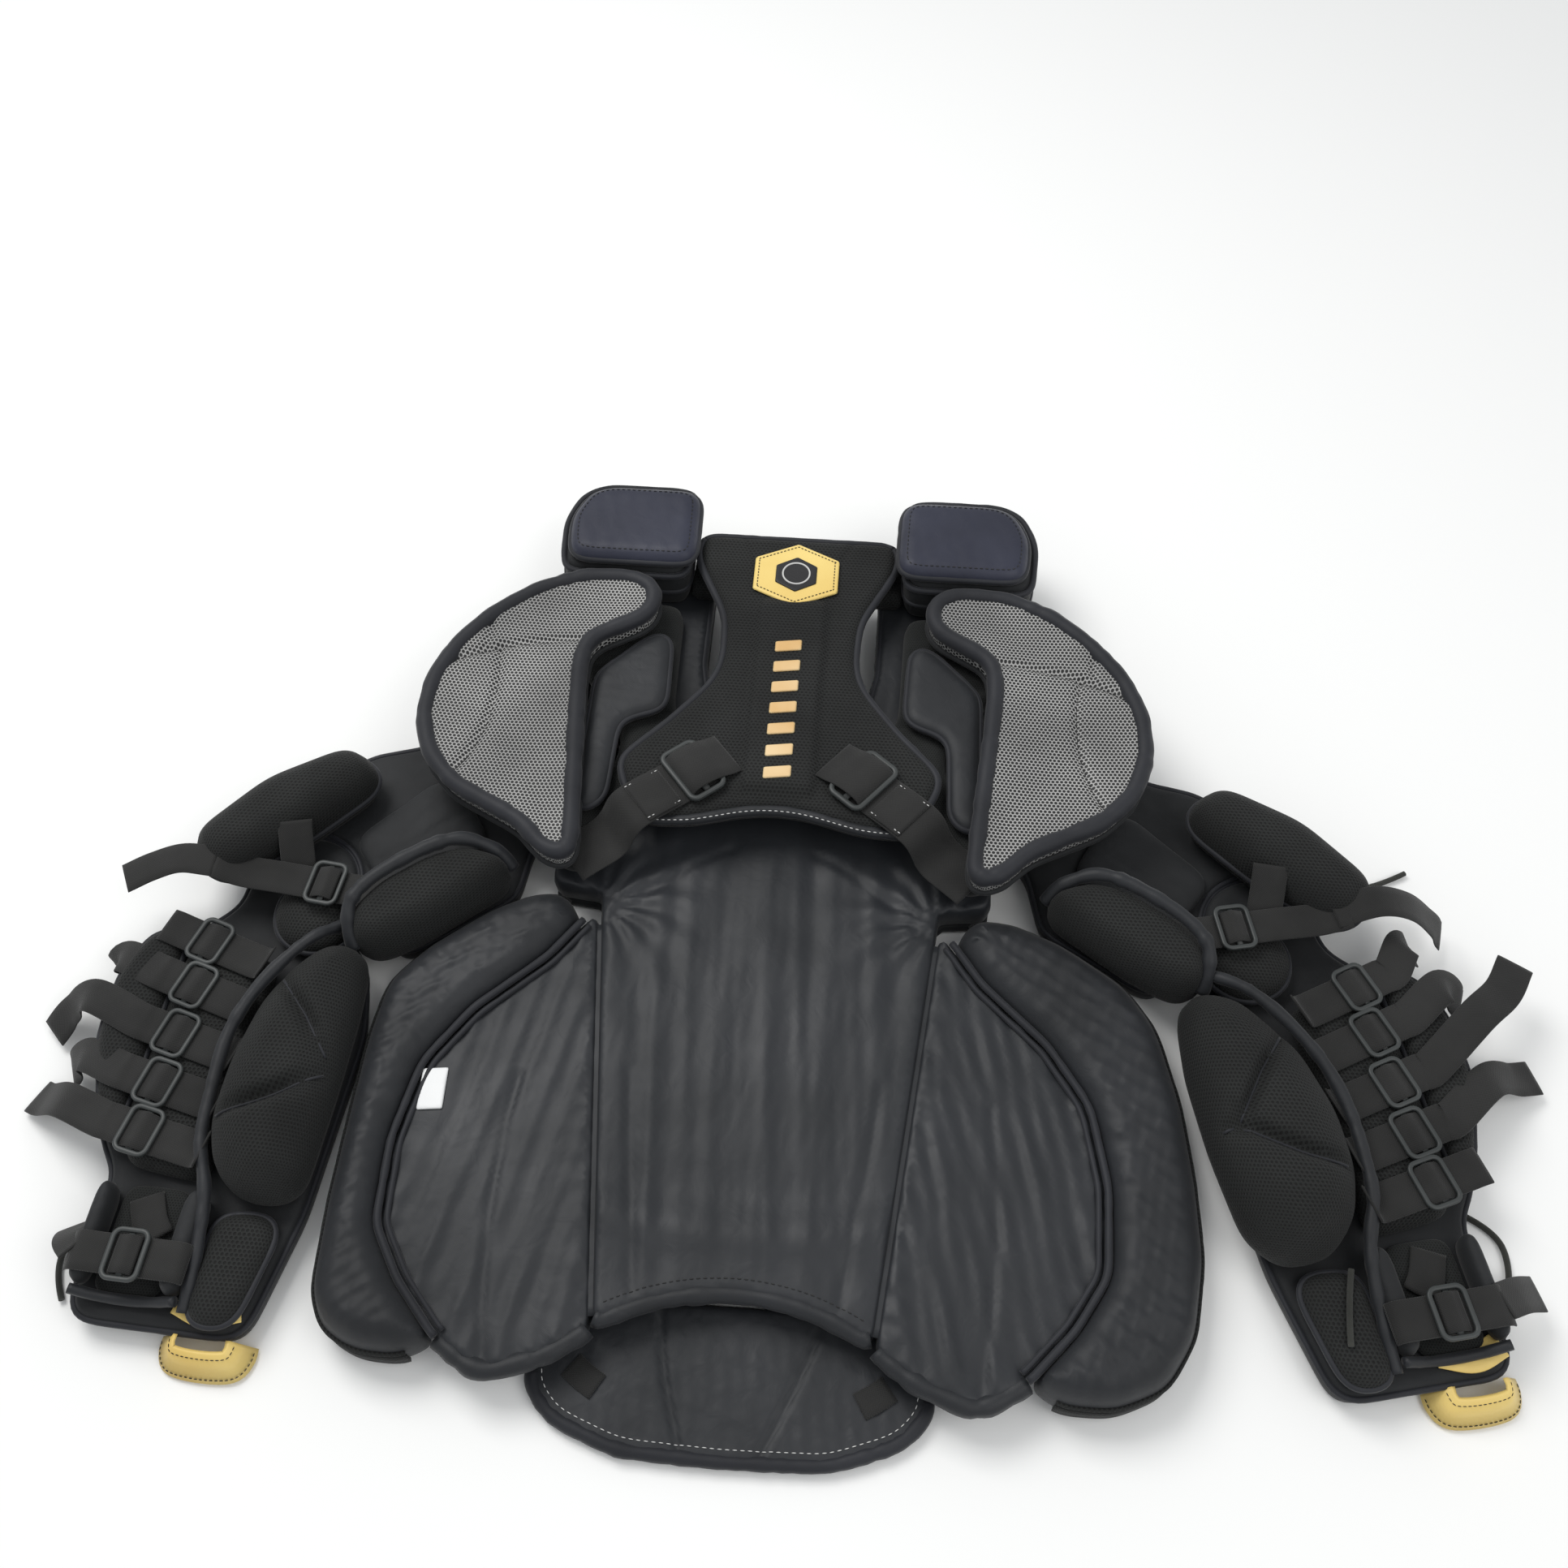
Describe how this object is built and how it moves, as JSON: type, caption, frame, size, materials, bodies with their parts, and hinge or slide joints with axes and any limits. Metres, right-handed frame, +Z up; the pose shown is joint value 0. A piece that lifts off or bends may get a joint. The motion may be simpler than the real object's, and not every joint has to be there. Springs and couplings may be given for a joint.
{
  "type": "hockey shoulder pads",
  "caption": "Padded body and arm protector for ice hockey goaltending, lying open with its inner side up, with hinged side wings, shoulder caps, jointed arms and webbing adjusters.",
  "frame": {"origin": "centre of the chest front's resting face", "axes": "+X to the right side of the lying pads, +Y towards the collar, +Z up from the resting face to the inner side"},
  "size_m": [0.9565, 0.699, 0.09],
  "materials": {
    "mesh_black": "open air mesh",
    "nylon_slate": "woven nylon",
    "nylon_liner": "satin nylon lining",
    "satin_navy": "satin",
    "mesh_grey": "silver-grey mesh",
    "webbing": "ribbed webbing",
    "slide_plastic": "moulded",
    "gold_trim": "stitched",
    "label_white": "woven satin",
    "lace_cord": "braided"
  },
  "bodies": {
    "torso": {"chest_front_cover": "nylon_slate", "chest_foam_core": "nylon_liner", "body_liner": "nylon_liner", "shoulder_risers": "mesh_black", "clavicle_pads": "nylon_slate", "left_collar_pad": "mesh_black", "right_collar_pad": "mesh_black", "collar_linings": "satin_navy", "spine_pad": "mesh_black", "spine_badge": "gold_trim", "harness_straps": "webbing", "harness_slides": "slide_plastic", "neck_yoke": "mesh_black"},
    "flap": {"belly_flap": "nylon_slate", "flap_tabs": "webbing"},
    "left_wing": {"left_side_panel": "nylon_liner", "left_side_roll": "nylon_slate", "blank_label": "label_white"},
    "left_cap": {"left_shoulder_cap": "mesh_grey"},
    "left_upper_arm": {"left_upper_arm_shell": "nylon_slate", "left_bicep_pad": "mesh_black", "left_triceps_pad": "mesh_black", "left_upper_arm_strap": "webbing"},
    "left_forearm": {"left_forearm_shell": "nylon_slate", "left_elbow_dome": "mesh_black", "left_elbow_cushion": "mesh_black", "left_forearm_lining": "mesh_black", "left_forearm_side_pad": "mesh_black", "left_forearm_straps": "webbing", "left_forearm_slides": "slide_plastic", "left_cuff_pad": "nylon_slate", "left_cuff_strap": "webbing", "left_forearm_guard": "mesh_black", "left_wrist_loop": "gold_trim", "left_lace": "lace_cord"},
    "left_upper_glide": {"left_upper_arm_slide": "slide_plastic"},
    "left_cuff_glide": {"left_cuff_slide": "slide_plastic"},
    "right_wing": {"right_side_panel": "nylon_liner", "right_side_roll": "nylon_slate"},
    "right_cap": {"right_shoulder_cap": "mesh_grey"},
    "right_upper_arm": {"right_upper_arm_shell": "nylon_slate", "right_bicep_pad": "mesh_black", "right_triceps_pad": "mesh_black", "right_upper_arm_strap": "webbing", "right_arm_lace": "lace_cord"},
    "right_forearm": {"right_forearm_shell": "nylon_slate", "right_elbow_dome": "mesh_black", "right_elbow_cushion": "mesh_black", "right_forearm_lining": "mesh_black", "right_forearm_side_pad": "mesh_black", "right_forearm_straps": "webbing", "right_forearm_slides": "slide_plastic", "right_cuff_pad": "nylon_slate", "right_cuff_strap": "webbing", "right_forearm_guard": "mesh_black", "right_wrist_loop": "gold_trim", "right_lace": "lace_cord", "right_guard_lace": "lace_cord"},
    "right_upper_glide": {"right_upper_arm_slide": "slide_plastic"},
    "right_cuff_glide": {"right_cuff_slide": "slide_plastic"}
  },
  "joints": [
    {"name": "left_wing_fold", "type": "hinge", "parent": "torso", "child": "left_wing", "pos_m": [-0.12, 0.16, 0.034], "axis": [-0.1172, 0.9931, 0], "range_deg": [0, 50]},
    {"name": "left_cap_lift", "type": "hinge", "parent": "torso", "child": "left_cap", "pos_m": [-0.102, 0.3, 0.052], "axis": [0, 1, 0], "range_deg": [0, 40]},
    {"name": "left_shoulder_swing", "type": "hinge", "parent": "torso", "child": "left_upper_arm", "pos_m": [-0.185, 0.29, 0.012], "axis": [0, 0, -1], "range_deg": [0, 25]},
    {"name": "left_elbow_bend", "type": "hinge", "parent": "left_upper_arm", "child": "left_forearm", "pos_m": [-0.33787, 0.17056, 0.012], "axis": [0, 0, -1], "range_deg": [0, 20]},
    {"name": "left_upper_slide_shift", "type": "slide", "parent": "left_upper_arm", "child": "left_upper_glide", "axis": [-0.9931, 0.1172, 0], "range_m": [-0.01, 0.02]},
    {"name": "left_cuff_slide_shift", "type": "slide", "parent": "left_forearm", "child": "left_cuff_glide", "axis": [-0.9986, 0.0523, 0], "range_m": [-0.008, 0.008]},
    {"name": "right_wing_fold", "type": "hinge", "parent": "torso", "child": "right_wing", "pos_m": [0.12, 0.16, 0.034], "axis": [-0.1172, -0.9931, 0], "range_deg": [0, 50]},
    {"name": "right_cap_lift", "type": "hinge", "parent": "torso", "child": "right_cap", "pos_m": [0.102, 0.3, 0.052], "axis": [0, -1, 0], "range_deg": [0, 40]},
    {"name": "right_shoulder_swing", "type": "hinge", "parent": "torso", "child": "right_upper_arm", "pos_m": [0.185, 0.29, 0.012], "axis": [0, 0, 1], "range_deg": [0, 25]},
    {"name": "right_elbow_bend", "type": "hinge", "parent": "right_upper_arm", "child": "right_forearm", "pos_m": [0.3477, 0.18434, 0.012], "axis": [0, 0, 1], "range_deg": [0, 20]},
    {"name": "right_upper_slide_shift", "type": "slide", "parent": "right_upper_arm", "child": "right_upper_glide", "axis": [0.9791, 0.2033, 0], "range_m": [-0.01, 0.02]},
    {"name": "right_cuff_slide_shift", "type": "slide", "parent": "right_forearm", "child": "right_cuff_glide", "axis": [0.9744, 0.225, 0], "range_m": [-0.008, 0.008]},
    {"name": "flap_swing", "type": "hinge", "parent": "torso", "child": "flap", "pos_m": [0, -0.1023, 0], "axis": [1, 0, 0], "range_deg": [0, 35]}
  ]
}
